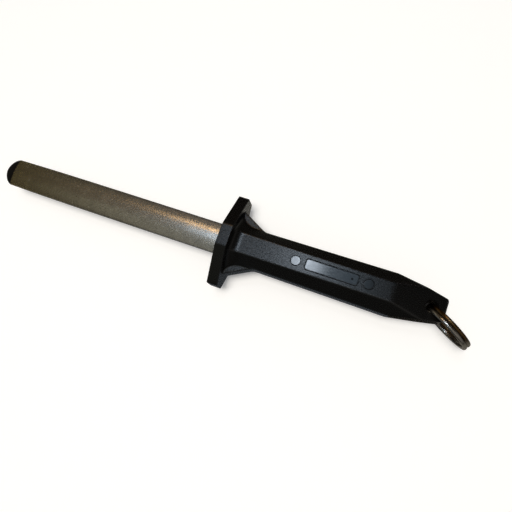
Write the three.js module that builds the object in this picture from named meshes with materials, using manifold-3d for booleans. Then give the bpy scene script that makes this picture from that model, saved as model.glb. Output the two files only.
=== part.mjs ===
// Knife sharpening steel: an oval abrasive rod with a tip cap, a moulded handle with a wide guard,
// and a split ring through the tail. Millimetres, +Z up.
// While a piece is shaped, X runs along the rod from the tip (minus) to the tail (plus), zero is the
// guard's front face, and the axis of the rod is at y = z = 0. The inlaid panel faces +Z.
import * as THREE from 'three';
import { mergeVertices } from 'three/addons/utils/BufferGeometryUtils.js';
import Module from 'manifold-3d';

const wasm = await Module();
wasm.setup();

// Clearances
const clearance = 0.3;          // round a piece that sits in another
const seam = 0.1;               // between the rod's end and the tip cap
const overrun = 2;              // how far a cut runs past the face it opens

// The rod is one bar: an oval blade, and a narrower tang inside the handle
const rod = {
  width: 25,
  tipWidth: 23.4,               // the oval draws in towards its tip
  thickness: 6.8,
  length: 198,                  // from the guard to the cap's seam
  socketDepth: 14,              // how far the full oval runs into the handle
  tipEase: 5,                   // power of the curve along which the width draws in
};
const tang = {
  width: 14,
  thickness: 5.6,
  end: 126,                     // its far end, from the guard's front face
  pointLength: 9,               // the length over which the end narrows
  pointWidth: 7,
};
const cap = {
  length: 9,
  stemRadius: 1.6,
  stemLength: 12,
  roundness: 1.7,               // power of the nose curve, 2 would be an ellipse
};

// The handle is one moulding: guard, grip, gussets and tail
const guard = {
  width: 73,
  depth: 48.4,
  thickness: 8.8,
  flatWidth: 17.2,              // the narrow facets above and below
  sideHeight: 14.6,             // the narrow facets at the two ends
  edgeRadius: 0.5,
  cornerRadius: 1.5,
};
const grip = {
  depth: 28,
  width: 29.9,                  // beside the guard
  tailWidth: 32.4,              // where the tail begins
  flatWidth: 16.2,
  tailFlatWidth: 14.7,
  sideHeight: 12.4,
  length: 125.2,                // from the guard's back face to where the tail begins
  cornerRadius: 1.6,
};
const flare = {
  sideLength: 13,               // the sides sweep out into the guard over this length
  sideRise: 10,
  flatLength: 6.5,              // and so do the flats above and below
  flatRise: 6,
};
const gusset = {
  reach: 26.4,                  // from the axis, at the guard
  length: 21,                   // along the grip
  thickness: 10.4,
  edgeRadius: 0.8,
};
const tail = {
  length: 38.8,
  endWidth: 17.2,
  endDepth: 14,
  edgeRadius: 2,
  holeRadius: 3.8,
  holeFromEnd: 10.7,
  mouthDepth: 4.5,              // the hole widens over this depth at both mouths
  mouthRise: 2,                 // the widening runs on past the sloping face by this much
  mouthWidening: 1.4,           // in radius, over the depth and the rise
};

// Set into the flat of the grip
const inlay = {
  length: 40.4,
  width: 8.5,
  thickness: 1.2,
  cornerRadius: 1.6,
  fromGuard: 87.8,              // its middle, from the guard's front face
};
const plug = {
  radius: 3.8,
  thickness: 2.6,
  fromInlay: 27.8,              // from the inlay's middle to each plug's middle
};
const pin = {
  radius: 2.1,
  length: 17,
};

// The split ring: one wire, nearly two turns
const ring = {
  meanRadius: 18.5,
  wireRadius: 1.42,
  coilGap: 0.42,                // between the two coils
  setBack: 1.25,                // the wire's middle lies this far behind the hole's axis
  swing: -31,                   // degrees about the hole's axis, from straight back
  lean: 6,                      // degrees that the ring leans in its hole
  jogAt: 185,                   // degrees round the ring from its far end, where it changes coil
  jogHalfAngle: 20,
};

// How finely curves are cut
const fine = {
  ovalSides: 48, rodRings: 14, capRings: 10, corner: 3, flare: 10, edge: 3, tailRings: 8, hole: 32,
  ringSteps: 24, ringSides: 6,
};
const turn = 360;               // degrees

const steel = (name, color, roughness) => new THREE.MeshStandardMaterial(
  { name, color, roughness, metalness: 1 });
const plastic = (name, color, roughness) => new THREE.MeshStandardMaterial(
  { name, color, roughness, metalness: 0 });
const finishes = {
  grit: steel('diamond_plated_steel', 0x8a8474, 0.55),
  ring: steel('nickel_plated_wire', 0xb9b6b0, 0.2),
  pin: steel('plain_steel', 0x8d8f92, 0.4),
  handle: plastic('moulded_polyamide', 0x26282b, 0.5),
  smooth: plastic('polished_polyamide', 0x3a3d42, 0.3),
  cap: plastic('cap_polyamide', 0x1c1b1b, 0.55),
};

const guardBack = guard.thickness;
const tailStart = guardBack + grip.length;
const tailEnd = tailStart + tail.length;
const holeX = tailEnd - tail.holeFromEnd;
const gripTop = grip.depth / 2;

// A closed mesh becomes a solid for cutting and joining, and back again
function toSolid(geometry) {
  const bare = geometry.clone();
  bare.deleteAttribute('normal');
  bare.deleteAttribute('uv');
  const merged = mergeVertices(bare);
  return new wasm.Manifold(new wasm.Mesh({
    numProp: 3,
    vertProperties: new Float32Array(merged.attributes.position.array),
    triVerts: new Uint32Array(merged.index.array),
  }));
}

function toGeometry(solid) {
  const mesh = solid.getMesh();
  const geometry = new THREE.BufferGeometry();
  geometry.setAttribute('position', new THREE.BufferAttribute(mesh.vertProperties, 3));
  geometry.setIndex(new THREE.BufferAttribute(mesh.triVerts, 1));
  geometry.computeVertexNormals();
  return geometry;
}

// Skins a row of rings of [x, y, z] points, each with as many points, and closes both ends
function loft(rings) {
  const count = rings[0].length;
  const index = [];
  for (let k = 0; k + 1 < rings.length; k += 1) {
    for (let i = 0; i < count; i += 1) {
      const a = k * count + i;
      const b = k * count + (i + 1) % count;
      index.push(a, b, b + count, a, b + count, a + count);
    }
  }
  const last = (rings.length - 1) * count;
  for (let i = 1; i + 1 < count; i += 1) {
    index.push(0, i + 1, i, last, last + i, last + i + 1);
  }
  const geometry = new THREE.BufferGeometry();
  geometry.setAttribute('position', new THREE.Float32BufferAttribute(rings.flat(2), 3));
  geometry.setIndex(index);
  return geometry;
}

function ovalRing(x, width, thickness) {
  return Array.from({ length: fine.ovalSides }, (_, i) => {
    const angle = 2 * Math.PI * i / fine.ovalSides;
    return [x, Math.cos(angle) * width / 2, Math.sin(angle) * thickness / 2];
  });
}

// Eight corners [y, z] of a section with flats above, below and at both sides
function octagon(halfWidth, halfDepth, halfFlat, halfSide) {
  return [
    [halfWidth, -halfSide], [halfWidth, halfSide], [halfFlat, halfDepth], [-halfFlat, halfDepth],
    [-halfWidth, halfSide], [-halfWidth, -halfSide], [-halfFlat, -halfDepth], [halfFlat, -halfDepth],
  ];
}

// Rounds each corner of a convex outline with a short curve between its two edges
function roundCorners(corners, radius) {
  const points = [];
  const reachShare = 0.45;      // of the shorter edge, at most
  corners.forEach((corner, i) => {
    const here = new THREE.Vector2(...corner);
    const before = new THREE.Vector2(...corners.at(i - 1)).sub(here);
    const after = new THREE.Vector2(...corners[(i + 1) % corners.length]).sub(here);
    const turn = Math.PI - Math.abs(before.angleTo(after));
    const shorter = Math.min(before.length(), after.length());
    const reach = Math.min(radius * Math.tan(turn / 2), shorter * reachShare);
    const start = before.setLength(reach).add(here);
    const end = after.setLength(reach).add(here);
    const curve = new THREE.QuadraticBezierCurve(start, here, end);
    curve.getPoints(fine.corner).forEach((point) => points.push([point.x, point.y]));
  });
  return points;
}

// Moves every edge of a convex outline inwards by the same distance
function inset(corners, distance) {
  return corners.map((corner, i) => {
    const here = new THREE.Vector2(...corner);
    const into = here.clone().sub(new THREE.Vector2(...corners.at(i - 1))).normalize();
    const out = new THREE.Vector2(...corners[(i + 1) % corners.length]).sub(here).normalize();
    const normals = new THREE.Vector2(-into.y - out.y, into.x + out.x);
    const shift = normals.multiplyScalar(distance / (1 + into.dot(out)));
    return here.add(shift).toArray();
  });
}

const at = (x, outline) => outline.map(([y, z]) => [x, y, z]);

// A round bar along Z from one height to another
function uprightBar(radius, low, high, x) {
  const bar = new THREE.CylinderGeometry(radius, radius, high - low, fine.hole);
  bar.rotateX(Math.PI / 2);
  bar.translate(x, 0, (low + high) / 2);
  return bar;
}

// A round bar along X from one place to another
function levelBar(radius, from, to) {
  const bar = new THREE.CylinderGeometry(radius, radius, to - from, fine.hole);
  bar.rotateZ(Math.PI / 2);
  bar.translate((from + to) / 2, 0, 0);
  return bar;
}

// Tang outline seen from above, grown by a margin for the slot that holds it
function tangBar(from, margin) {
  const half = tang.width / 2 + margin;
  const halfPoint = tang.pointWidth / 2 + margin;
  const thickness = tang.thickness + 2 * margin;
  const shape = new THREE.Shape([
    new THREE.Vector2(from, -half),
    new THREE.Vector2(tang.end - tang.pointLength, -half),
    new THREE.Vector2(tang.end + margin, -halfPoint),
    new THREE.Vector2(tang.end + margin, halfPoint),
    new THREE.Vector2(tang.end - tang.pointLength, half),
    new THREE.Vector2(from, half),
  ]);
  const bar = new THREE.ExtrudeGeometry(shape, { depth: thickness, bevelEnabled: false });
  bar.translate(0, 0, -thickness / 2);
  return bar;
}

const pinPlaces = {
  front: inlay.fromGuard - plug.fromInlay,
  rear: inlay.fromGuard + plug.fromInlay,
};
const pinTop = gripTop - plug.thickness - clearance;
const pinBottom = pinTop - pin.length;

// The blade narrows towards the tip, slowly at first
function bladeWidth(x) {
  const share = Math.max(-x / rod.length, 0);
  return rod.width - (rod.width - rod.tipWidth) * share ** rod.tipEase;
}

function sharpeningRod() {
  const rings = [];
  for (let k = 0; k <= fine.rodRings; k += 1) {
    const x = -rod.length * (1 - k / fine.rodRings);
    rings.push(ovalRing(x, bladeWidth(x), rod.thickness));
  }
  rings.push(ovalRing(rod.socketDepth, rod.width, rod.thickness));
  const stemBore = levelBar(cap.stemRadius + clearance, -rod.length - overrun,
    -rod.length + cap.stemLength + clearance);
  let solid = toSolid(loft(rings)).add(toSolid(tangBar(rod.socketDepth - overrun, 0)));
  solid = solid.subtract(toSolid(stemBore));
  for (const x of Object.values(pinPlaces)) {
    const bore = uprightBar(pin.radius + clearance, -rod.thickness, rod.thickness, x);
    solid = solid.subtract(toSolid(bore));
  }
  return toGeometry(solid);
}

// The cap's nose closes along a curve fuller than a cone and slimmer than an ellipse
function tipCap() {
  const back = -rod.length - seam;
  const rings = [];
  for (let k = fine.capRings; k >= 0; k -= 1) {
    const along = Math.sin(Math.PI / 2 * k / fine.capRings);
    const size = Math.max((1 - along ** cap.roundness) ** (1 / cap.roundness), clearance / rod.width);
    rings.push(ovalRing(back - cap.length * along, rod.tipWidth * size, rod.thickness * size));
  }
  const stem = levelBar(cap.stemRadius, back - cap.length / 2, back + cap.stemLength);
  return toGeometry(toSolid(loft(rings)).add(toSolid(stem)));
}

function guardPlate() {
  const outline = octagon(guard.width / 2, guard.depth / 2, guard.flatWidth / 2, guard.sideHeight / 2);
  const ringAt = (x, distance) => at(x, roundCorners(inset(outline, distance), guard.cornerRadius));
  const front = [];
  const back = [];
  for (let k = 0; k <= fine.edge; k += 1) {
    const angle = Math.PI / 2 * k / fine.edge;
    const along = guard.edgeRadius * (1 - Math.cos(angle));
    const inwards = guard.edgeRadius * (1 - Math.sin(angle));
    front.push(ringAt(along, inwards));
    back.unshift(ringAt(guard.thickness - along, inwards));
  }
  return loft([...front, ...back]);
}

// How far the flare has risen at x, as a share of its full rise at the guard
function flareShare(x, length) {
  const short = Math.min(Math.max(1 - (x - guardBack) / length, 0), 1);
  return 1 - Math.sqrt(1 - short * short);
}

// The grip's section at x. Along the tail the flats and sides close in, and cut the slanted faces away.
function gripSection(x) {
  const along = Math.min(Math.max((x - guardBack) / grip.length, 0), 1);
  const closing = Math.max((x - tailStart) / tail.length, 0);
  const width = THREE.MathUtils.lerp(grip.width, grip.tailWidth, along);
  const flat = THREE.MathUtils.lerp(grip.flatWidth, grip.tailFlatWidth, along) / 2;
  const side = THREE.MathUtils.lerp(width, tail.endWidth, closing) / 2;
  const top = THREE.MathUtils.lerp(grip.depth, tail.endDepth, closing) / 2;
  const slope = (width / 2 - flat) / (gripTop - grip.sideHeight / 2);
  const cutFlat = Math.min(flat + slope * (gripTop - top), side - tail.edgeRadius);
  const cutSide = Math.min(gripTop - (side - flat) / slope, top - tail.edgeRadius);
  const sideRise = flare.sideRise * flareShare(x, flare.sideLength);
  const flatRise = flare.flatRise * flareShare(x, flare.flatLength);
  return octagon(side + sideRise, top + flatRise, cutFlat, cutSide);
}

function gripBody() {
  const rings = [at(guardBack - overrun, roundCorners(gripSection(guardBack), grip.cornerRadius))];
  for (let k = 0; k <= fine.flare; k += 1) {
    const x = guardBack + flare.sideLength * (1 - Math.cos(Math.PI / 2 * k / fine.flare));
    rings.push(at(x, roundCorners(gripSection(x), grip.cornerRadius)));
  }
  for (let k = 0; k < fine.tailRings; k += 1) {
    const x = tailStart + (tail.length - tail.edgeRadius) * k / fine.tailRings;
    rings.push(at(x, roundCorners(gripSection(x), grip.cornerRadius)));
  }
  for (let k = 0; k <= fine.edge; k += 1) {
    const angle = Math.PI / 2 * k / fine.edge;
    const x = tailEnd - tail.edgeRadius * (1 - Math.sin(angle));
    const inwards = tail.edgeRadius * (1 - Math.cos(angle));
    rings.push(at(x, roundCorners(inset(gripSection(x), inwards), grip.cornerRadius)));
  }
  return loft(rings);
}

// A triangular web between the guard's back and the grip's side, on the side that the sign gives
function gussetWeb(sign) {
  const root = (grip.width / 2 - gusset.edgeRadius) * sign;
  const inner = root - gusset.edgeRadius * 2 * sign;
  const outer = (gusset.reach - gusset.edgeRadius) * sign;
  const start = guardBack - overrun;
  const shape = new THREE.Shape([
    new THREE.Vector2(start, inner),
    new THREE.Vector2(guardBack + gusset.length, inner),
    new THREE.Vector2(guardBack + gusset.length, root),
    new THREE.Vector2(guardBack, outer),
    new THREE.Vector2(start, outer),
  ]);
  const flatThickness = gusset.thickness - 2 * gusset.edgeRadius;
  const web = new THREE.ExtrudeGeometry(shape, {
    depth: flatThickness, bevelThickness: gusset.edgeRadius, bevelSize: gusset.edgeRadius,
    bevelSegments: fine.edge,
  });
  web.translate(0, 0, -flatThickness / 2);
  return web;
}

// The hole through the tail, and the cones that widen its two mouths
function tailHoleCuts() {
  const surface = THREE.MathUtils.lerp(tail.endDepth, grip.depth, tail.holeFromEnd / tail.length) / 2;
  const height = tail.mouthDepth + tail.mouthRise;
  const wide = tail.holeRadius + tail.mouthWidening;
  const cones = [1, -1].map((side) => {
    const cone = new THREE.CylinderGeometry(wide, tail.holeRadius, height, fine.hole);
    cone.rotateX(side * Math.PI / 2);
    cone.translate(holeX, 0, side * (surface - tail.mouthDepth + height / 2));
    return cone;
  });
  return [uprightBar(tail.holeRadius, -gripTop, gripTop, holeX), ...cones];
}

// The inlay's outline, grown by a margin, as a slab that ends at the given heights
function inlaySlab(margin, low, high) {
  const halfLength = inlay.length / 2 + margin;
  const halfWidth = inlay.width / 2 + margin;
  const radius = inlay.cornerRadius + margin;
  const shape = new THREE.Shape();
  shape.moveTo(halfLength, -halfWidth + radius);
  shape.absarc(halfLength - radius, halfWidth - radius, radius, 0, Math.PI / 2);
  shape.absarc(-halfLength + radius, halfWidth - radius, radius, Math.PI / 2, Math.PI);
  shape.absarc(-halfLength + radius, -halfWidth + radius, radius, Math.PI, Math.PI * 3 / 2);
  shape.absarc(halfLength - radius, -halfWidth + radius, radius, Math.PI * 3 / 2, Math.PI * 2);
  const slab = new THREE.ExtrudeGeometry(shape, {
    depth: high - low, bevelEnabled: false, curveSegments: fine.corner * 2,
  });
  slab.translate(inlay.fromGuard, 0, low);
  return slab;
}

function handle() {
  let solid = toSolid(guardPlate()).add(toSolid(gripBody()));
  solid = solid.add(toSolid(gussetWeb(1))).add(toSolid(gussetWeb(-1)));
  const socket = loft([
    ovalRing(-overrun, rod.width + 2 * clearance, rod.thickness + 2 * clearance),
    ovalRing(rod.socketDepth + clearance, rod.width + 2 * clearance, rod.thickness + 2 * clearance),
  ]);
  const cuts = [socket, tangBar(rod.socketDepth - overrun, clearance)];
  for (const x of Object.values(pinPlaces)) {
    cuts.push(uprightBar(plug.radius + clearance, pinTop, gripTop + overrun, x));
    cuts.push(uprightBar(pin.radius + clearance, pinBottom - clearance, gripTop, x));
  }
  cuts.push(inlaySlab(clearance, gripTop - inlay.thickness - clearance, gripTop + overrun));
  cuts.push(...tailHoleCuts());
  for (const cut of cuts) {
    solid = solid.subtract(toSolid(cut));
  }
  return toGeometry(solid);
}

const inlayPlate = () => inlaySlab(0, gripTop - inlay.thickness, gripTop);
const plugDisc = (x) => uprightBar(plug.radius, gripTop - plug.thickness, gripTop, x);
const crossPin = (x) => uprightBar(pin.radius, pinBottom, pinTop, x);

// Directions of the ring: towards its far end, across its plane, and up in its plane
const swing = THREE.MathUtils.degToRad(ring.swing);
const lean = THREE.MathUtils.degToRad(ring.lean);
const ringOut = new THREE.Vector3(Math.cos(swing), Math.sin(swing), 0);
const ringLevel = new THREE.Vector3(-Math.sin(swing), Math.cos(swing), 0);
const ringNormal = ringLevel.clone().multiplyScalar(Math.cos(lean)).setZ(Math.sin(lean));
const ringUp = ringLevel.clone().multiplyScalar(-Math.sin(lean)).setZ(Math.cos(lean));
const ringCentre = new THREE.Vector3(holeX, 0, 0)
  .addScaledVector(ringOut, ring.meanRadius - ring.setBack);

// Middle of the wire where it has wound by so many degrees from the place where it changes coil
function wirePlace(wound) {
  const pitch = 2 * ring.wireRadius + ring.coilGap;
  const change = Math.min(Math.max((wound - turn) / ring.jogHalfAngle, -1), 1);
  const across = -pitch / 2 * Math.sin(Math.PI / 2 * change);
  const angle = THREE.MathUtils.degToRad(ring.jogAt + wound);
  const radial = ringOut.clone().multiplyScalar(Math.cos(angle))
    .addScaledVector(ringUp, Math.sin(angle));
  const middle = ringCentre.clone().addScaledVector(radial, ring.meanRadius)
    .addScaledVector(ringNormal, across);
  return { middle, radial };
}

// One unbroken wire: it starts beside the jog, runs round twice and ends on the jog's other side
function splitRing() {
  const first = ring.jogHalfAngle;
  const last = 2 * turn - ring.jogHalfAngle;
  const steps = 2 * fine.ringSteps;
  const rings = [];
  for (let k = 0; k <= steps; k += 1) {
    const { middle, radial } = wirePlace(THREE.MathUtils.lerp(first, last, k / steps));
    rings.push(Array.from({ length: fine.ringSides }, (_, i) => {
      const angle = 2 * Math.PI * (i + 1 / 2) / fine.ringSides;
      return middle.clone()
        .addScaledVector(radial, ring.wireRadius * Math.cos(angle))
        .addScaledVector(ringNormal, ring.wireRadius * Math.sin(angle)).toArray();
    }));
  }
  console.log(`split ring: least gap of the wire to itself ${leastGap().toFixed(2)} mm`);
  return loft(rings);
}

// Least distance, measured at each degree, between stretches of wire at least half a turn apart
function leastGap() {
  let least = Infinity;
  const last = 2 * turn - ring.jogHalfAngle;
  for (let here = ring.jogHalfAngle; here <= last; here += 1) {
    const { middle } = wirePlace(here);
    for (let there = here + turn / 2; there <= last; there += 1) {
      least = Math.min(least, middle.distanceTo(wirePlace(there).middle));
    }
  }
  return least - 2 * ring.wireRadius;
}

function piece(name, geometry, material) {
  const mesh = new THREE.Mesh(geometry, material);
  mesh.name = name;
  return mesh;
}

// The finished part stands on the guard's lower facet: the origin is the middle of that facet
const sharpeningSteel = new THREE.Group();
sharpeningSteel.position.set(-guard.thickness / 2, 0, guard.depth / 2);
sharpeningSteel.add(
  piece('sharpening_rod', sharpeningRod(), finishes.grit),
  piece('tip_cap', tipCap(), finishes.cap),
  piece('handle', handle(), finishes.handle),
  piece('inlay_plate', inlayPlate(), finishes.smooth),
  piece('front_plug', plugDisc(pinPlaces.front), finishes.smooth),
  piece('rear_plug', plugDisc(pinPlaces.rear), finishes.smooth),
  piece('front_pin', crossPin(pinPlaces.front), finishes.pin),
  piece('rear_pin', crossPin(pinPlaces.rear), finishes.pin),
  piece('split_ring', splitRing(), finishes.ring),
);

const assembly = new THREE.Group();
assembly.add(sharpeningSteel);

export default assembly;
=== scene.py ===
from math import radians

import bmesh
import bpy
import numpy as np
from mathutils import Matrix, Vector


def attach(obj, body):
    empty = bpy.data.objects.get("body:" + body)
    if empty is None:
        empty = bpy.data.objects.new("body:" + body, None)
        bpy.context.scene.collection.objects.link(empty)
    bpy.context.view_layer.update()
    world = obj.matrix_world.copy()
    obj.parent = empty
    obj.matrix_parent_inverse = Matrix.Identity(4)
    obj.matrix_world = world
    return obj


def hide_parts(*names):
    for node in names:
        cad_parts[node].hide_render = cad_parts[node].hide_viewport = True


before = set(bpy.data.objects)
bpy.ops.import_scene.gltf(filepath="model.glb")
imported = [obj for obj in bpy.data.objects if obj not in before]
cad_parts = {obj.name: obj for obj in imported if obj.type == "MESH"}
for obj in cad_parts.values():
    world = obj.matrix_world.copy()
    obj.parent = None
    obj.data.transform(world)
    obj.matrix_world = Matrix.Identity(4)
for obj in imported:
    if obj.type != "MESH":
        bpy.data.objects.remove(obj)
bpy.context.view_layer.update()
scene = bpy.context.scene
scene.view_settings.view_transform = "Standard"
mm = 0.001
print("frame loaded")


# Camera, floor, world and lamps. Places are in millimetres in the frame.

cameraView = {
    "aim": (23.58, -3.84, 24.45),
    "distance": 374.35,
    "azimuth": 49.574,      # degrees, from -Y towards +X
    "elevation": 75.094,
    "roll": -30.341,
    "lens": 33.743,
    "sensor": 36,
    "clipStart": 10,
}


def placeCamera(view):
    azimuth, elevation = radians(view["azimuth"]), radians(view["elevation"])
    back = Vector((
        np.sin(azimuth) * np.cos(elevation),
        -np.cos(azimuth) * np.cos(elevation),
        np.sin(elevation)))
    level = Vector((np.cos(azimuth), np.sin(azimuth), 0))
    upright = Matrix((level, back.cross(level), back)).transposed()
    rolled = upright @ Matrix.Rotation(radians(view["roll"]), 3, "Z")
    data = bpy.data.cameras.new("photoCamera")
    data.lens = view["lens"]
    data.sensor_width = view["sensor"]
    data.clip_start = view["clipStart"] * mm
    camera = bpy.data.objects.new("photoCamera", data)
    scene.collection.objects.link(camera)
    place = (Vector(view["aim"]) + back * view["distance"]) * mm
    camera.matrix_world = Matrix.Translation(place) @ rolled.to_4x4()
    scene.camera = camera


# An sRGB hex colour in linear light: value / 12.92 up to 0.04045, ((value + 0.055) / 1.055) ^ 2.4 above it
def linear(hexColour):
    parts = np.array([int(hexColour[i:i + 2], 16) for i in (0, 2, 4)]) / 255
    return (*np.where(parts <= 0.04045, parts / 12.92, ((parts + 0.055) / 1.055) ** 2.4), 1.0)


# Adds one node: settings are its own fields, inputs are values or the sockets that feed it
def addNode(tree, kind, settings=None, inputs=None):
    node = tree.nodes.new("ShaderNode" + kind)
    for field, value in (settings or {}).items():
        setattr(node, field, value)
    for key, value in (inputs or {}).items():
        if isinstance(value, bpy.types.NodeSocket):
            tree.links.new(value, node.inputs[key])
        else:
            node.inputs[key].default_value = value
    return node


def newMaterial(name):
    material = bpy.data.materials.new(name)
    material.use_nodes = True
    material.node_tree.nodes.clear()
    return material, material.node_tree


def showSurface(tree, shader):
    addNode(tree, "OutputMaterial", inputs={"Surface": shader.outputs[0]})


# Object coordinates, in metres
def objectPlace(tree):
    return addNode(tree, "TexCoord").outputs["Object"]


def combine(tree, operation, first, second):
    return addNode(tree, "Math", {"operation": operation}, {0: first, 1: second}).outputs[0]


# One where a camera, glossy or transmission ray arrives, so that metal shows the white background too
def backgroundRays(tree):
    path = addNode(tree, "LightPath").outputs
    direct = combine(tree, "MAXIMUM", path["Is Camera Ray"], path["Is Glossy Ray"])
    return combine(tree, "MAXIMUM", direct, path["Is Transmission Ray"])


studio = {
    "white": "ffffff",
    "ambient": 0.22,        # what the world gives to matt surfaces
    "background": 1.0,      # what it gives to the eye and to reflections
    "floorColour": "f4f4f2",
    "floorLift": 0.2,       # added to the floor for the eye alone, so that it reads as white paper
    "floorSize": 4000,
    "floorLevel": -0.05,
    # A shadow painted into the paper under the tail, which shows through the hole: its middle, the radius
    # inside which it is darkest, the radius where it ends, and the share of light left in the darkest part
    "paintedShadeMiddle": (161, 3.5, 0),
    "paintedShadeDark": 4,
    "paintedShadeClear": 9,
    "paintedShadeLight": 0.04,
    "lampAim": (0, 0, 24),
}
lamps = {
    # name: colour, place, diameter, power, seen in reflections
    "softbox": ("fffaf4", (-30, -190, 2000), 700, 29.0, False),
    "handleLamp": ("e6f2ff", (-34, 183, 975), 92, 0.4, True),
}
# Cards that only reflections see: a dark room round the object, with a window in its ceiling.
# name: colour, strength, a corner, and the two sides that leave it
cards = {
    "skylight": ("c9e7ff", 1.3, (-40, 60, 998), (190, 0, 0), (0, 270, 0)),
    "skylightMiddle": ("bfe2ff", 0.66, (-190, 60, 998), (150, 0, 0), (0, 270, 0)),
    "skylightEnd": ("daecff", 1.65, (-355, 80, 998), (165, 0, 0), (0, 250, 0)),
    "ceilingTip": ("322b1c", 1, (-1800, -1800, 1000), (950, 0, 0), (0, 3600, 0)),
    "ceilingMiddleFront": ("706e62", 1, (-850, -1800, 1000), (495, 0, 0), (0, 1860, 0)),
    "ceilingMiddleBack": ("544838", 1, (-850, 60, 1000), (495, 0, 0), (0, 1740, 0)),
    "ceilingTail": ("16130f", 1, (150, 60, 1000), (1650, 0, 0), (0, 1740, 0)),
    "ceilingFarTail": ("827e78", 1, (230, -1800, 1000), (1570, 0, 0), (0, 1860, 0)),
    "ceilingBack": ("776552", 1, (-355, 330, 1000), (505, 0, 0), (0, 1470, 0)),
    "ceilingFront": ("5d6360", 1, (-355, -1800, 1002), (585, 0, 0), (0, 1880, 0)),
    "coilLight": ("e0e0e4", 2.0, (-190, -60, 995), (500, 0, 0), (0, 110, 0)),
    "backWall": ("2c2216", 1, (-1800, 1800, 0), (3600, 0, 0), (0, 0, 1000)),
    "frontWall": ("34332f", 1, (-1800, -1800, 0), (3600, 0, 0), (0, 0, 1000)),
    "tailWall": ("706c68", 1, (1800, -1800, 0), (0, 3600, 0), (0, 0, 1000)),
    "tipWall": ("7a7468", 1, (-1800, -1800, 0), (0, 3600, 0), (0, 0, 1000)),
    "tableBack": ("2e2a22", 1, (-1800, 0, 0.6), (1960, 0, 0), (0, 1800, 0)),
    "tableFront": ("5a5f64", 1, (-1800, -1800, 0.6), (1935, 0, 0), (0, 1800, 0)),
    "tableTail": ("2a2824", 1, (135, -1800, 0.6), (1665, 0, 0), (0, 1800, 0)),
    "tableFarTail": ("2a2824", 1, (160, 0, 0.6), (1640, 0, 0), (0, 1800, 0)),
    "tableRing": ("78746c", 1, (172, -120, 0.8), (160, 0, 0), (0, 170, 0)),
    "tableUnder": ("8a8880", 1, (64, 24, 0.8), (90, 0, 0), (0, 50, 0)),
    "paleCloth": ("98958c", 1, (4, 24, 0.8), (60, 0, 0), (0, 60, 0)),
    "warmStrip": ("ffd096", 4.9, (-375, 390, 990), (220, 0, 0), (0, 90, 0)),
    "warmStripEnd": ("ffd096", 1.5, (-520, 390, 990), (145, 0, 0), (0, 90, 0)),
    "ringStreak": ("fff0f8", 14, (540, 1330, 990), (110, 0, 0), (0, 140, 0)),
}


def buildWorld():
    world = bpy.data.worlds.new("whiteRoom")
    world.use_nodes = True
    scene.world = world
    tree = world.node_tree
    tree.nodes.clear()
    white = linear(studio["white"])
    ambient = addNode(tree, "Background", inputs={"Color": white, "Strength": studio["ambient"]})
    background = addNode(tree, "Background", inputs={"Color": white, "Strength": studio["background"]})
    mixed = addNode(tree, "MixShader", inputs={
        0: backgroundRays(tree), 1: ambient.outputs[0], 2: background.outputs[0]})
    addNode(tree, "OutputWorld", inputs={"Surface": mixed.outputs[0]})


def flatSheet(name, corners, material):
    mesh = bpy.data.meshes.new(name)
    mesh.from_pydata(np.array(corners, float) * mm, [], [(0, 1, 2, 3)])
    mesh.materials.append(material)
    sheet = bpy.data.objects.new(name, mesh)
    scene.collection.objects.link(sheet)
    return sheet


def buildFloor():
    paper, tree = newMaterial("whitePaper")
    # Painted shadow: round its middle under the tail, the paper's colour and its lift are scaled down
    away = addNode(tree, "VectorMath", {"operation": "DISTANCE"}, {
        0: objectPlace(tree), 1: Vector(studio["paintedShadeMiddle"]) * mm})
    clear = addNode(tree, "MapRange", {"interpolation_type": "SMOOTHSTEP"}, {
        0: away.outputs["Value"],
        1: studio["paintedShadeDark"] * mm, 2: studio["paintedShadeClear"] * mm,
        3: studio["paintedShadeLight"], 4: 1.0}).outputs[0]
    shaded = addNode(tree, "VectorMath", {"operation": "SCALE"}, {
        0: linear(studio["floorColour"])[:3], "Scale": clear})
    matt = addNode(tree, "BsdfDiffuse", inputs={"Color": shaded.outputs[0]})
    lifted = combine(tree, "MULTIPLY", clear, studio["floorLift"])
    lift = combine(tree, "MULTIPLY", backgroundRays(tree), lifted)
    glow = addNode(tree, "Emission", inputs={"Color": linear(studio["white"]), "Strength": lift})
    showSurface(tree, addNode(tree, "AddShader", inputs={0: matt.outputs[0], 1: glow.outputs[0]}))
    half, level = studio["floorSize"] / 2, studio["floorLevel"]
    corners = [(-half, -half, level), (half, -half, level), (half, half, level), (-half, half, level)]
    flatSheet("floor", corners, paper)


def hangCards():
    for name, (colour, strength, *places) in cards.items():
        board, tree = newMaterial(name)
        glow = {"Color": linear(colour), "Strength": float(strength)}
        showSurface(tree, addNode(tree, "Emission", inputs=glow))
        corner, side, rise = np.array(places)
        card = flatSheet(name, [corner, corner + side, corner + side + rise, corner + rise], board)
        card.visible_camera = card.visible_diffuse = False
        card.visible_shadow = card.visible_transmission = False


def hangLamps():
    aim = Vector(studio["lampAim"])
    for name, (colour, place, size, power, mirrored) in lamps.items():
        data = bpy.data.lights.new(name, "AREA")
        data.color = linear(colour)[:3]
        data.shape = "DISK"
        data.size = size * mm
        data.energy = power
        lamp = bpy.data.objects.new(name, data)
        scene.collection.objects.link(lamp)
        lamp.visible_glossy = mirrored
        lamp.location = Vector(place) * mm
        lamp.rotation_euler = (Vector(place) - aim).to_track_quat("Z", "Y").to_euler()


placeCamera(cameraView)
buildWorld()
buildFloor()
hangCards()
hangLamps()
print("studio ready")


# Shapes, in millimetres. X runs along the steel from the guard's front face to the tail, and the rod's axis
# is at y = z = 0. frameShift below takes that to the frame.

creaseAngle = 35        # degrees: a sharper ridge stays a hard edge
mergeDistance = 1e-7    # metres
cutPast = 3             # how far a pocket's tool goes past the surface that it opens
borePast = 1            # the same for a bore that opens into a pocket, and for the shallow mark
# Steps round each kind of shape, and along a rounded corner or rim
divisions = {"oval": 160, "round": 64, "tailHole": 96, "stemBore": 48, "corner": 12, "rim": 4}


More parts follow.
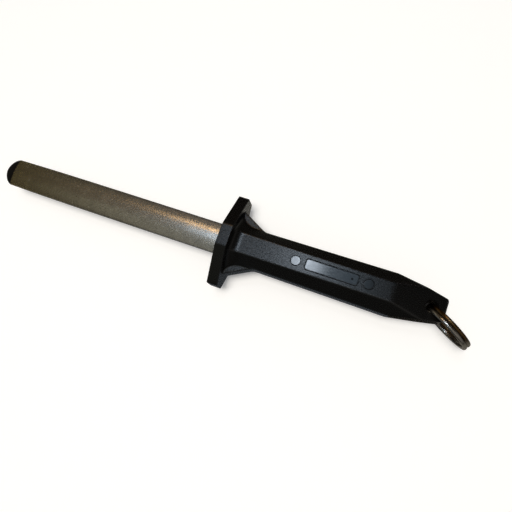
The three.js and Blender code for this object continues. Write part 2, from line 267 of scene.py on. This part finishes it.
def circle(count):
    return np.arange(count) / count * 2 * np.pi


# A closed skin over rows of points (rows, columns, 3). Columns run round, and each end closes on its own
# middle. A face joins columns c and c + 1 of row r with the same columns of row r + 1.
def skin(name, rows, crease=creaseAngle):
    rowCount, columnCount = rows.shape[:2]
    points = np.concatenate([rows.reshape(-1, 3), rows[0].mean(0)[None], rows[-1].mean(0)[None]])
    first = np.arange(rowCount - 1)[:, None] * columnCount
    here = np.arange(columnCount)[None, :]
    after = (here + 1) % columnCount
    quads = np.stack([
        first + here, first + after, first + columnCount + after, first + columnCount + here], -1)
    start, end = rowCount * columnCount, rowCount * columnCount + 1
    lastRow = (rowCount - 1) * columnCount
    startFan = np.stack([np.full(columnCount, start), after[0], here[0]], -1)
    endFan = np.stack([np.full(columnCount, end), lastRow + here[0], lastRow + after[0]], -1)
    faces = quads.reshape(-1, 4).tolist() + startFan.tolist() + endFan.tolist()
    mesh = bpy.data.meshes.new(name)
    mesh.from_pydata((points + frameShift) * mm, [], faces)
    piece = bpy.data.objects.new(name, mesh)
    scene.collection.objects.link(piece)
    work = bmesh.new()
    work.from_mesh(mesh)
    bmesh.ops.remove_doubles(work, verts=work.verts, dist=mergeDistance)
    bmesh.ops.recalc_face_normals(work, faces=work.faces)
    work.to_mesh(mesh)
    work.free()
    shade(piece, crease)
    return piece


def shade(piece, crease=creaseAngle):
    piece.data.shade_smooth()
    piece.data.set_sharp_from_angle(angle=radians(crease))


def applyModifiers(piece):
    evaluated = piece.evaluated_get(bpy.context.evaluated_depsgraph_get())
    applied = bpy.data.meshes.new_from_object(evaluated)
    piece.modifiers.clear()
    piece.data = applied


# Cuts tools out of a piece and takes the tools away
def carve(piece, tools):
    for tool in tools:
        modifier = piece.modifiers.new("carve", "BOOLEAN")
        modifier.operation = "DIFFERENCE"
        modifier.solver = "EXACT"
        modifier.object = tool
        applyModifiers(piece)
        bpy.data.objects.remove(tool)
    shade(piece)
    return piece


# Normals follow the larger faces, so that flats stay flat beside their rounded edges
def weighNormals(piece):
    modifier = piece.modifiers.new("weigh", "WEIGHTED_NORMAL")
    modifier.keep_sharp = True
    applyModifiers(piece)
    return piece


# Rings of radius r(angle) at places x: rows of points (x, r cos(angle), r sin(angle)) round the rod's axis
def ringsAround(places, angles, radii):
    along = np.broadcast_to(places, radii.shape[:1])[:, None]
    return np.stack([
        np.broadcast_to(along, radii.shape), radii * np.cos(angles), radii * np.sin(angles)], -1)


# Ovals at places x: rows of points (x, half width times cos(angle), half thickness times sin(angle))
def ovalsAround(places, angles, halfWidth, halfThickness):
    across = np.reshape(halfWidth, (-1, 1)) * np.cos(angles)
    up = np.reshape(halfThickness, (-1, 1)) * np.sin(angles)
    return np.stack(np.broadcast_arrays(places[:, None], across, up), -1)


# Radius of an oval in each direction
def ovalRadius(angles, halfWidth, halfThickness):
    return 1 / np.hypot(np.cos(angles) / halfWidth, np.sin(angles) / halfThickness)


# Distance to the edge of a shape bounded by flat sides, in each direction: the nearest side counts,
# and a high power rounds the corners a little. Sides are (normal y, normal z, distance), mirrored in y and z.
def flatSided(angles, sides, power):
    across, up = np.abs(np.cos(angles)), np.abs(np.sin(angles))
    total = 0
    for side in sides:
        normalY, normalZ, distance = (np.reshape(value, (-1, 1)) for value in side)
        total = total + ((normalY * across + normalZ * up) / distance) ** power
    return total ** (-1 / power)


# The slanted side through two corners (y, z) of an eight-sided outline
def slantedSide(cornerY, cornerZ, flatY, flatZ):
    normalY, normalZ = flatZ - cornerZ, cornerY - flatY
    size = np.hypot(normalY, normalZ)
    return normalY / size, normalZ / size, (normalY * cornerY + normalZ * cornerZ) / size


# A corner power says how tightly corners are rounded: the higher, the sharper
guard = {
    "halfWidth": 36.5, "halfDepth": 24.2, "halfFlat": 8.6, "halfSide": 7.3,
    "thickness": 8.8, "edge": 0.5, "cornerPower": 130,
    "markDepth": 0.35, "markRadius": 2.2, "markAside": 1.0,
}
grip = {
    "halfDepth": 14.0, "halfWidth": 14.95, "halfTailWidth": 16.2, "halfFlat": 8.1, "halfTailFlat": 7.35,
    "halfSide": 6.2, "length": 125.2, "cornerPower": 85,
    "sideFlare": 13, "sideRise": 10, "flatFlare": 9, "flatRise": 6, "flatEase": 1.3,
}
gusset = {
    "reach": 26.4, "leastReach": 1, "length": 21, "halfThickness": 5.2, "cornerPower": 54, "blendPower": 26,
}
tail = {
    "length": 38.8, "halfEndWidth": 8.6, "halfEndDepth": 7.0, "edge": 2,
    "holeFromEnd": 10.7, "holeRadius": 3.8, "mouthDepth": 4.5, "mouthSlope": 1.4 / 6.5,
}
socket = {"halfWidth": 12.8, "halfThickness": 3.7, "depth": 14.3}
# The handle's skin: its columns and how far they crowd to the sides, and the rows of each stretch
shell = {
    "columns": 400, "crowding": 0.32, "socketShares": (0.5, 1, 1, 1), "edgeRows": 6, "frontRows": 9,
    "rimRows": 5, "backRows": 12, "flareRows": 22, "gussetRows": 16, "pastGusset": 3, "gripRows": 34,
    "tailRows": 20, "endShares": (0.75, 0.5, 0.25),
}
# The frame's origin is the middle of the guard's lower facet
frameShift = np.array([-guard["thickness"] / 2, 0, guard["halfDepth"]])
guardBack = guard["thickness"]
gripTop = grip["halfDepth"]
tailStart = guardBack + grip["length"]
tailEnd = tailStart + tail["length"]
holeX = tailEnd - tail["holeFromEnd"]


def guardRadius(angles, inset):
    slantY, slantZ, slantDistance = slantedSide(
        guard["halfWidth"], guard["halfSide"], guard["halfFlat"], guard["halfDepth"])
    sides = [
        (1, 0, guard["halfWidth"] - inset),
        (0, 1, guard["halfDepth"] - inset),
        (slantY, slantZ, slantDistance - inset),
    ]
    return flatSided(angles, sides, guard["cornerPower"])


# Share of the flare's rise at x: a quarter circle that leaves the guard's back face along it, to a power
# that lets it run out softly
def flareShare(x, length, ease=1):
    short = np.clip(1 - (x - guardBack) / length, 0, 1)
    return (1 - np.sqrt(1 - short ** 2)) ** ease


# Grip, flare and tail at places x. In the tail the flats and sides close in and cut the slanted faces away.
def gripRadius(angles, x, inset=0):
    along = np.clip((x - guardBack) / grip["length"], 0, 1)
    closing = np.maximum((x - tailStart) / tail["length"], 0)
    halfWidth = grip["halfWidth"] + (grip["halfTailWidth"] - grip["halfWidth"]) * along
    halfFlat = grip["halfFlat"] + (grip["halfTailFlat"] - grip["halfFlat"]) * along
    side = halfWidth + (tail["halfEndWidth"] - halfWidth) * closing
    top = grip["halfDepth"] + (tail["halfEndDepth"] - grip["halfDepth"]) * closing
    sideRise = grip["sideRise"] * flareShare(x, grip["sideFlare"])
    flatRise = grip["flatRise"] * flareShare(x, grip["flatFlare"], grip["flatEase"])
    slantY, slantZ, slantDistance = slantedSide(
        halfWidth + sideRise, grip["halfSide"], halfFlat, grip["halfDepth"] + flatRise)
    sides = [
        (1, 0, side + sideRise - inset),
        (0, 1, top + flatRise - inset),
        (slantY, slantZ, slantDistance - inset),
    ]
    return flatSided(angles, sides, grip["cornerPower"])


# A flat bar across the grip whose ends slope down to the grip's side and on into it
def gussetRadius(angles, x):
    slope = (gusset["reach"] - grip["halfWidth"]) / gusset["length"]
    reach = np.maximum(gusset["reach"] - slope * (x - guardBack), gusset["leastReach"])
    return flatSided(angles, [(1, 0, reach), (0, 1, gusset["halfThickness"])], gusset["cornerPower"])


# Grip and gussets as one: the larger radius counts, and the power blends them where they meet
def bodyRadius(angles, x, inset=0):
    power = gusset["blendPower"]
    return (gripRadius(angles, x, inset) ** power + gussetRadius(angles, x) ** power) ** (1 / power)


# Angles round the axis, closer together towards the sides, where the gussets are
def handleAngles():
    even = circle(shell["columns"])
    return even - shell["crowding"] * np.sin(2 * even) / 2


# Places of the rows behind the guard: along the flare, the gussets, the grip and the tail
def bodyPlaces():
    quarter = np.linspace(0, np.pi / 2, shell["flareRows"])
    flareEnd = guardBack + grip["sideFlare"]
    gussetEnd = guardBack + gusset["length"] + shell["pastGusset"]
    return np.concatenate([
        guardBack + grip["sideFlare"] * (1 - np.cos(quarter)),
        np.linspace(flareEnd, gussetEnd, shell["gussetRows"])[1:],
        np.linspace(gussetEnd, tailStart, shell["gripRows"])[1:],
        np.linspace(tailStart, tailEnd - tail["edge"], shell["tailRows"])[1:]])


def handleShell():
    angles = handleAngles()
    edge, endEdge, depth = guard["edge"], tail["edge"], socket["depth"]
    quarter = np.linspace(0, np.pi / 2, shell["edgeRows"])
    fromFace, fromSide = 1 - np.cos(quarter), 1 - np.sin(quarter)
    mouth = ovalRadius(angles, socket["halfWidth"], socket["halfThickness"])
    face = guardRadius(angles, np.array([edge]))[0]
    root = bodyRadius(angles, np.array([guardBack]))[0]
    frontShares = np.linspace(0, 1, shell["frontRows"])[1:-1, None]
    backShares = np.linspace(0, 1, shell["backRows"])[1:-1, None]
    rimX = np.linspace(edge, guardBack - edge, shell["rimRows"])[1:-1]
    bodyX = bodyPlaces()
    endX = tailEnd - endEdge * fromSide[1:]
    last = bodyRadius(angles, endX[-1:], endEdge)[0]
    rows = [
        # The socket, from its floor to its mouth
        ringsAround([depth, depth, depth / 2, 0.0], angles, mouth * np.array(shell["socketShares"])[:, None]),
        # The guard: front face, rounded edge, rim, rounded edge, back face
        ringsAround(0.0, angles, mouth + (face - mouth) * frontShares),
        ringsAround(edge * fromFace, angles, guardRadius(angles, edge * fromSide)),
        ringsAround(rimX, angles, guardRadius(angles, 0 * rimX)),
        ringsAround(guardBack - edge * fromFace[::-1], angles, guardRadius(angles, edge * fromSide[::-1])),
        ringsAround(guardBack, angles, face + (root - face) * backShares),
        # Flare, grip and tail, the tail's rounded edge and its end face
        ringsAround(bodyX, angles, bodyRadius(angles, bodyX)),
        ringsAround(endX, angles, bodyRadius(angles, endX, endEdge * fromFace[1:])),
        ringsAround(tailEnd, angles, last * np.array(shell["endShares"])[:, None]),
    ]
    return skin("handleMoulding", np.concatenate(rows))


# An upright turned shape: rows of circles of radius r at heights z, centred at (x, y)
def turned(name, x, heights, radii, y=0, steps=divisions["round"]):
    angles = circle(steps)
    heights, radii = np.array(heights, float)[:, None], np.array(radii, float)[:, None]
    rows = np.broadcast_arrays(x + radii * np.cos(angles), y + radii * np.sin(angles), heights)
    return skin(name, np.stack(rows, -1))


# An upright cylinder that cuts a bore or a pocket
def drill(name, x, low, high, radius, y=0):
    return turned(name, x, (low, high), (radius, radius), y=y)


# The gate mark is cut by a cone. Its radius is gateTip at gateDepth below the plate's face, and gateRadius
# plus gateRise at gateRise above it.
inlay = {
    "halfLength": 20.2, "halfWidth": 4.25, "thickness": 1.2, "corner": 1.6, "middle": 87.8,
    "rim": 0.34, "gap": 0.34, "supportLoops": (0.8, 1.5),
    "gateAlong": 15.4, "gateRadius": 0.75, "gateDepth": 0.8, "gateRise": 0.3, "gateTip": 0.15,
}
plug = {
    "radius": 3.8, "thickness": 2.6, "fromInlay": 27.8, "rim": 0.34, "gap": 0.34,
    "supportLoop": 0.08, "middleLoop": 0.5,
}
pin = {"radius": 2.1, "length": 17, "gap": 0.3, "boreReach": 8}
plugPlaces = {
    "frontPlug": inlay["middle"] - plug["fromInlay"],
    "rearPlug": inlay["middle"] + plug["fromInlay"],
}
pinTop = gripTop - plug["thickness"] - pin["gap"]
pinBottom = pinTop - pin["length"]


# The inlay's outline with round corners, drawn in or grown by a margin
def inlayOutline(margin):
    steps = divisions["corner"]
    corner = np.linspace(0, np.pi / 2, steps)
    radius = inlay["corner"] + margin
    turn = (np.arange(4)[:, None] * np.pi / 2 + corner).ravel()
    signX = np.repeat([1, -1, -1, 1], steps)
    signY = np.repeat([1, 1, -1, -1], steps)
    x = signX * (inlay["halfLength"] - inlay["corner"]) + radius * np.cos(turn)
    y = signY * (inlay["halfWidth"] - inlay["corner"]) + radius * np.sin(turn)
    return np.stack([inlay["middle"] + x, y], -1)


# A slab of that outline: levels are pairs of margin and height
def inlaySlab(name, levels):
    rows = []
    for margin, height in levels:
        outline = inlayOutline(margin)
        rows.append(np.column_stack([outline, np.full(len(outline), height)]))
    return skin(name, np.stack(rows))


# Steps over a rounded rim: how far they lie inside the outline, and how far below the top
def rimSteps(rim):
    turn = np.linspace(0, np.pi / 2, divisions["rim"])[1:]
    return rim * (1 - np.cos(turn)), rim * (1 - np.sin(turn))


def inlayPlate():
    inward, below = rimSteps(inlay["rim"])
    levels = [(0, gripTop - inlay["thickness"]), (0, gripTop - inlay["rim"])]
    levels += list(zip(-inward, gripTop - below))
    levels += [(-loop, gripTop) for loop in inlay["supportLoops"]]
    plate = inlaySlab("panelPlate", levels)
    heights = (gripTop - inlay["gateDepth"], gripTop + inlay["gateRise"])
    radii = (inlay["gateTip"], inlay["gateRadius"] + inlay["gateRise"])
    return weighNormals(carve(plate, [turned("gate", inlay["middle"] + inlay["gateAlong"], heights, radii)]))


def plugDisc(name):
    rim, radius = plug["rim"], plug["radius"]
    inward, below = rimSteps(rim)
    heights = [gripTop - plug["thickness"], gripTop - rim, *(gripTop - below), gripTop, gripTop]
    radii = [radius, radius, *(radius - inward)]
    radii += [radius - rim - plug["supportLoop"], radius * plug["middleLoop"]]
    return weighNormals(turned(name, plugPlaces[name], heights, radii))


rod = {
    "halfWidth": 12.5, "halfTipWidth": 11.7, "halfThickness": 3.4, "length": 198, "socketDepth": 14,
    "tipEase": 5, "rows": 67, "endLoop": 0.6,
}
tang = {
    "halfWidth": 7, "halfThickness": 2.8, "end": 126, "pointLength": 9, "halfPoint": 3.5, "cornerPower": 14,
    "firstRow": 4, "middleRow": 60, "slotGap": 0.3, "slotOverlap": 2,
}
cap = {
    "length": 9, "roundness": 1.7, "noseRows": 30, "leastSize": 0.004,
    "stemRadius": 1.6, "stemLength": 12, "stemOverlap": 2, "seam": 0.1, "gap": 0.3,
}


# Tang rows: a flat bar that narrows to its point, grown by a margin
def tangRows(angles, start, margin):
    pointStart = tang["end"] - tang["pointLength"]
    x = np.array([start, start + tang["firstRow"], tang["middleRow"], pointStart, tang["end"] + margin])
    half = np.array([tang["halfWidth"]] * 4 + [tang["halfPoint"]]) + margin
    sides = [(1, 0, half), (0, 1, tang["halfThickness"] + margin)]
    return ringsAround(x, angles, flatSided(angles, sides, tang["cornerPower"]))


# Blade rows: an oval whose width draws in towards the tip, slowly at first
def bladeRows(angles, x):
    share = np.maximum(-x / rod["length"], 0)
    half = rod["halfWidth"] - (rod["halfWidth"] - rod["halfTipWidth"]) * share ** rod["tipEase"]
    return ovalsAround(x, angles, half, rod["halfThickness"])


def sharpeningRod():
    angles = circle(divisions["oval"])
    x = np.concatenate([-np.linspace(rod["length"], 0, rod["rows"]), [rod["socketDepth"]]])
    blade = bladeRows(angles, x)
    endLoop = blade[:1] * [1, rod["endLoop"], rod["endLoop"]]
    shaft = tangRows(angles, rod["socketDepth"], 0)
    piece = skin("rodBlade", np.concatenate([endLoop, blade, shaft]))
    reach, radius = pin["boreReach"], pin["radius"] + pin["gap"]
    bores = [drill("bore", x, -reach, reach, radius) for x in plugPlaces.values()]
    return carve(piece, bores + [stemBore()])


# The bore in the rod's end that takes the cap's stem
def stemBore():
    ends = np.array([-cap["stemOverlap"], cap["stemLength"] + cap["gap"]]) - rod["length"]
    steps = divisions["stemBore"]
    radii = np.full((2, steps), cap["stemRadius"] + cap["gap"])
    return skin("stemBore", ringsAround(ends, circle(steps), radii))


# The nose: each oval shrinks by (1 - along^roundness)^(1/roundness), fuller than a cone
def tipCap():
    angles = circle(divisions["oval"])
    back = -rod["length"] - cap["seam"]
    along = np.sin(np.linspace(np.pi / 2, 0, cap["noseRows"]))
    size = np.maximum((1 - along ** cap["roundness"]) ** (1 / cap["roundness"]), cap["leastSize"])
    nose = ovalsAround(
        back - cap["length"] * along, angles, rod["halfTipWidth"] * size, rod["halfThickness"] * size)
    stem = ringsAround([back, back + cap["stemLength"]], angles, np.full((2, len(angles)), cap["stemRadius"]))
    return skin("tipNose", np.concatenate([nose, stem]))


# The hole through the tail, which widens towards both mouths
def tailHole():
    closing = tail["holeFromEnd"] / tail["length"]
    flatHeight = tail["halfEndDepth"] + (grip["halfDepth"] - tail["halfEndDepth"]) * closing
    narrow, wide = flatHeight - tail["mouthDepth"], flatHeight + cutPast
    wideRadius = tail["holeRadius"] + tail["mouthSlope"] * (wide - narrow)
    radii = [wideRadius, tail["holeRadius"], tail["holeRadius"], wideRadius]
    return turned("tailHole", holeX, [-wide, -narrow, narrow, wide], radii, steps=divisions["tailHole"])


def handlePiece():
    pocketRadius, boreRadius = plug["radius"] + plug["gap"], pin["radius"] + pin["gap"]
    tools = []
    for x in plugPlaces.values():
        tools.append(drill("plugPocket", x, pinTop, gripTop + cutPast, pocketRadius))
        tools.append(drill("pinBore", x, pinBottom - pin["gap"], pinTop + borePast, boreRadius))
    pocketFloor = gripTop - inlay["thickness"] - inlay["gap"]
    tools.append(inlaySlab("inlayPocket", [(inlay["gap"], pocketFloor), (inlay["gap"], gripTop + cutPast)]))
    slotStart = rod["socketDepth"] - tang["slotOverlap"]
    tools.append(skin("tangSlot", tangRows(circle(divisions["round"]), slotStart, tang["slotGap"])))
    tools.append(tailHole())
    facet = guard["halfDepth"]
    tools.append(drill(
        "ejectorMark", guardBack / 2, facet - guard["markDepth"], facet + borePast, guard["markRadius"],
        y=guard["markAside"]))
    return weighNormals(carve(handleShell(), tools))


# Angles are in degrees. The wire's two ends lie on either side of its crossing from coil to coil.
ring = {
    "meanRadius": 18.5, "wireRadius": 1.42, "wireHalfWidth": 1.5, "squareness": 2.6, "pitch": 3.06,
    "setBack": 1.25, "swing": -31, "lean": 6, "jogAt": 185, "jogHalfAngle": 20, "endRounding": 0.35,
    "wound": 720, "rows": 420, "endRows": 5, "columns": 32, "crease": 60,
}


# The ring's centre, and its three directions: along its axis, away from the handle, and up
def ringPlace():
    swing, lean = radians(ring["swing"]), radians(ring["lean"])
    out = np.array([np.cos(swing), np.sin(swing), 0])
    level = np.array([-np.sin(swing), np.cos(swing), 0])
    normal = level * np.cos(lean) + np.array([0, 0, np.sin(lean)])
    up = -level * np.sin(lean) + np.array([0, 0, np.cos(lean)])
    return np.array([holeX, 0, 0]) + out * (ring["meanRadius"] - ring["setBack"]), normal, out, up


# The wire's section is squarer than an ellipse: each coordinate is a cosine or sine to a power below one
def squared(wave):
    return np.sign(wave) * np.abs(wave) ** (2 / ring["squareness"])


# The wire winds twice round and changes coil in the middle of its length:
# across = -pitch / 2 times sin(90 degrees times the share of the change, from -1 to 1)
def splitRing():
    centre, normal, out, up = ringPlace()
    rounding = np.degrees(ring["endRounding"] / ring["meanRadius"])
    first, last = ring["jogHalfAngle"], ring["wound"] - ring["jogHalfAngle"]
    ease = np.linspace(0, np.pi / 2, ring["endRows"])[:-1]
    fromEnd = rounding * (1 - np.cos(ease))
    thinned = 1 - (1 - np.sin(ease)) * ring["endRounding"] / ring["wireRadius"]
    even = np.linspace(first + rounding, last - rounding, ring["rows"])
    wound = np.concatenate([first + fromEnd, even, last - fromEnd[::-1]])
    trim = np.concatenate([thinned, np.ones(len(even)), thinned[::-1]])
    change = np.clip((wound - ring["wound"] / 2) / ring["jogHalfAngle"], -1, 1)
    across = -ring["pitch"] / 2 * np.sin(np.pi / 2 * change)
    turn = np.radians(ring["jogAt"] + wound)[:, None]
    radial = out * np.cos(turn) + up * np.sin(turn)
    middle = centre + radial * ring["meanRadius"] + normal * across[:, None]
    section = circle(ring["columns"])
    thick = ring["wireRadius"] * squared(np.cos(section))
    wide = ring["wireHalfWidth"] * squared(np.sin(section))
    around = radial[:, None] * thick[:, None] + normal * wide[:, None]
    return skin("keyRing", middle[:, None] + trim[:, None, None] * around, ring["crease"])


# Materials. Every pattern reads Object coordinates in metres, so a pattern of p mm has a scale of 1000 / p.
# Sizes, spans and depths are in mm, and tones run from the pattern's low end to its high end.

noiseSpan = (0.3, 0.7)      # where most of a noise's values lie
wholeSpan = (0.0, 1.0)
grainDepth = 0.05
plasticIor = 1.5
rodLook = {
    # The tones grow paler from the tip to the guard over the span given here: a painted highlight where the
    # lamps' highlight falls
    "tones": ("9c8f66", "cfcdc8"), "paintedHighlightSpan": (-210, -4),      # from the tip to the guard
    "cloud": 9, "detail": 3, "cloudTones": (0.9, 1.1),
    "grain": 0.7, "grainTones": (0.82, 1.18), "roughness": (0.19, 0.29),
    # Grains whose random value passes the threshold given here are painted in the pale colour given here:
    # painted glints
    "paintedGlint": "f2ead8", "paintedGlintAbove": 0.997, "metallic": 0.9,
}
handleLook = {
    "tones": ("070706", "0b0b0b"), "cloud": 14, "detail": 4, "grain": 0.7, "grainRoughness": 0.6,
    "grainSpan": (0.42, 0.6), "roughness": (0.24, 0.28), "bump": 0.025,
}
smoothLook = {"tones": ("101112", "17181a"), "cloud": 6, "detail": 5, "roughness": (0.12, 0.15)}
capLook = {
    "tones": ("070605", "0c0b09"), "grain": 0.8, "detail": 3, "bump": 0.3, "roughness": 0.5, "specular": 0.2,
}
ringLook = {
    # The second tone is a painted brown reflection, laid on the outer coil and fading out towards the far end
    "tones": ("b9b5ae", "6e5637"), "cloud": 5, "detail": 5, "cloudRoughness": 0.6,
    "wander": (-0.6, 0.6), "coilSpan": (-0.4, 0.5),             # across the coils
    "outSpan": (12, 18), "outPaintedReflection": (1.0, 0.1),                 # from the ring's middle away from the handle
    "roughness": (0.16, 0.3),
}
pinLook = {
    "tones": ("86888b", "a0a2a4"), "grain": 0.4, "detail": 2, "stretch": 0.03, "roughness": (0.3, 0.45),
}


def noise(tree, place, size, detail, roughness=0.5):
    return addNode(tree, "TexNoise", inputs={
        "Vector": place, "Scale": 1000 / size, "Detail": detail, "Roughness": roughness}).outputs[0]


# Takes one span of values to another
def remap(tree, value, given, wanted=wholeSpan):
    return addNode(tree, "MapRange", inputs={
        0: value, 1: given[0], 2: given[1], 3: wanted[0], 4: wanted[1]}).outputs[0]


def blend(tree, share, low, high):
    return addNode(tree, "Mix", {"data_type": "RGBA"}, {0: share, 6: low, 7: high}).outputs[2]


def blendTones(tree, share, look):
    low, high = look["tones"]
    return blend(tree, share, linear(low), linear(high))


def metres(span):
    return [value * mm for value in span]


def raisedGrain(tree, grain, look):
    return addNode(tree, "Bump", inputs={
        "Strength": look["bump"], "Distance": grainDepth * mm, "Height": grain}).outputs[0]


def showPrincipled(tree, inputs):
    showSurface(tree, addNode(tree, "BsdfPrincipled", inputs=inputs))


def paintRod():
    # Diamond grit in electroplated nickel: brown-grey like a powder, with a painted highlight that makes it
    # paler towards the guard, a soft metallic streak under each light, and single grains painted near white
    # as glints
    material, tree = newMaterial("diamondPlatedNickel")
    place = objectPlace(tree)
    along = addNode(tree, "SeparateXYZ", inputs={0: place}).outputs[0]
    tone = blendTones(tree, remap(tree, along, metres(rodLook["paintedHighlightSpan"])), rodLook)
    cloud = noise(tree, place, rodLook["cloud"], rodLook["detail"])
    clouded = remap(tree, cloud, noiseSpan, rodLook["cloudTones"])
    cells = addNode(tree, "TexVoronoi", inputs={"Vector": place, "Scale": 1000 / rodLook["grain"]})
    grain = addNode(tree, "SeparateColor", inputs={0: cells.outputs["Color"]}).outputs
    speckle = remap(tree, grain[0], wholeSpan, rodLook["grainTones"])
    strength = combine(tree, "MULTIPLY", clouded, speckle)
    base = addNode(tree, "VectorMath", {"operation": "SCALE"}, {0: tone, "Scale": strength}).outputs[0]
    # Painted glint: rare grains take the pale colour
    paintedGlint = combine(tree, "GREATER_THAN", grain[1], rodLook["paintedGlintAbove"])
    showPrincipled(tree, {
        "Base Color": blend(tree, paintedGlint, base, linear(rodLook["paintedGlint"])), "Metallic": rodLook["metallic"],
        "Roughness": remap(tree, grain[2], wholeSpan, rodLook["roughness"])})
    return material


def paintHandle():
    # Injection-moulded black polyamide with an eroded mould texture: a soft grey sheen where a flat faces the
    # window, deep black elsewhere
    material, tree = newMaterial("mouldedPolyamide")
    place = objectPlace(tree)
    grain = noise(tree, place, handleLook["grain"], handleLook["detail"], handleLook["grainRoughness"])
    cloud = noise(tree, place, handleLook["cloud"], handleLook["detail"])
    showPrincipled(tree, {
        "Base Color": blendTones(tree, cloud, handleLook), "IOR": plasticIor,
        "Roughness": remap(tree, grain, handleLook["grainSpan"], handleLook["roughness"]),
        "Normal": raisedGrain(tree, grain, handleLook)})
    return material


def paintSmooth():
    # The same polyamide from a polished insert: it mirrors the window as a pale glare
    material, tree = newMaterial("polishedPolyamide")
    cloud = noise(tree, objectPlace(tree), smoothLook["cloud"], smoothLook["detail"])
    showPrincipled(tree, {
        "Base Color": blendTones(tree, cloud, smoothLook), "IOR": plasticIor,
        "Roughness": remap(tree, cloud, noiseSpan, smoothLook["roughness"])})
    return material


def paintCap():
    # Matt black moulded plastic: it scatters the little light that it sends back, and mirrors next to nothing
    material, tree = newMaterial("mouldedBlackCap")
    grain = noise(tree, objectPlace(tree), capLook["grain"], capLook["detail"])
    showPrincipled(tree, {
        "Base Color": blendTones(tree, grain, capLook), "Roughness": capLook["roughness"],
        "IOR": plasticIor, "Specular IOR Level": capLook["specular"],
        "Normal": raisedGrain(tree, grain, capLook)})
    return material


def paintRing():
    # Nickel-plated spring wire, bright, with a painted brown reflection on the outer coil, as if it mirrored
    # a brown room, which fades out at the ring's far end
    material, tree = newMaterial("nickelPlatedWire")
    place = objectPlace(tree)
    centre, normal, out = ringPlace()[:3]
    fromCentre = addNode(tree, "VectorMath", {"operation": "SUBTRACT"}, {
        0: place, 1: (centre + frameShift) * mm}).outputs[0]
    across, away = (
        addNode(tree, "VectorMath", {"operation": "DOT_PRODUCT"}, {0: fromCentre, 1: way}).outputs["Value"]
        for way in (normal, out))
    cloud = noise(tree, place, ringLook["cloud"], ringLook["detail"], ringLook["cloudRoughness"])
    edge = combine(tree, "ADD", across, remap(tree, cloud, noiseSpan, metres(ringLook["wander"])))
    outerCoil = remap(tree, edge, metres(ringLook["coilSpan"]))
    nearHandle = remap(tree, away, metres(ringLook["outSpan"]), ringLook["outPaintedReflection"])
    # Painted reflection: its share on the outer coil, fading out away from the handle
    paintedBrownReflection = combine(tree, "MULTIPLY", outerCoil, nearHandle)
    showPrincipled(tree, {
        "Base Color": blendTones(tree, paintedBrownReflection, ringLook), "Metallic": 1.0,
        "Roughness": remap(tree, cloud, noiseSpan, ringLook["roughness"])})
    return material


def paintPin():
    # Drawn steel bar, grey with fine lines along it
    material, tree = newMaterial("drawnSteel")
    stretched = addNode(tree, "Mapping", inputs={0: objectPlace(tree), "Scale": (1, 1, pinLook["stretch"])})
    lines = noise(tree, stretched.outputs[0], pinLook["grain"], pinLook["detail"])
    showPrincipled(tree, {
        "Base Color": blendTones(tree, lines, pinLook), "Metallic": 1.0,
        "Roughness": remap(tree, lines, noiseSpan, pinLook["roughness"])})
    return material


def hand(piece, material, body, node):
    piece.data.materials.clear()
    piece.data.materials.append(material)
    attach(piece, body)
    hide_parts(node)
    print("made", piece.name, len(piece.data.polygons), "faces")


smooth = paintSmooth()
hand(sharpeningRod(), paintRod(), "steel", "sharpening_rod")
hand(tipCap(), paintCap(), "steel", "tip_cap")
hand(handlePiece(), paintHandle(), "steel", "handle")
hand(inlayPlate(), smooth, "steel", "inlay_plate")
hand(plugDisc("frontPlug"), smooth, "steel", "front_plug")
hand(plugDisc("rearPlug"), smooth, "steel", "rear_plug")
hand(splitRing(), paintRing(), "ring", "split_ring")
pinSteel = paintPin()
for node in ("front_pin", "rear_pin"):
    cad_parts[node].data.materials.clear()
    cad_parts[node].data.materials.append(pinSteel)
print("pieces in place")
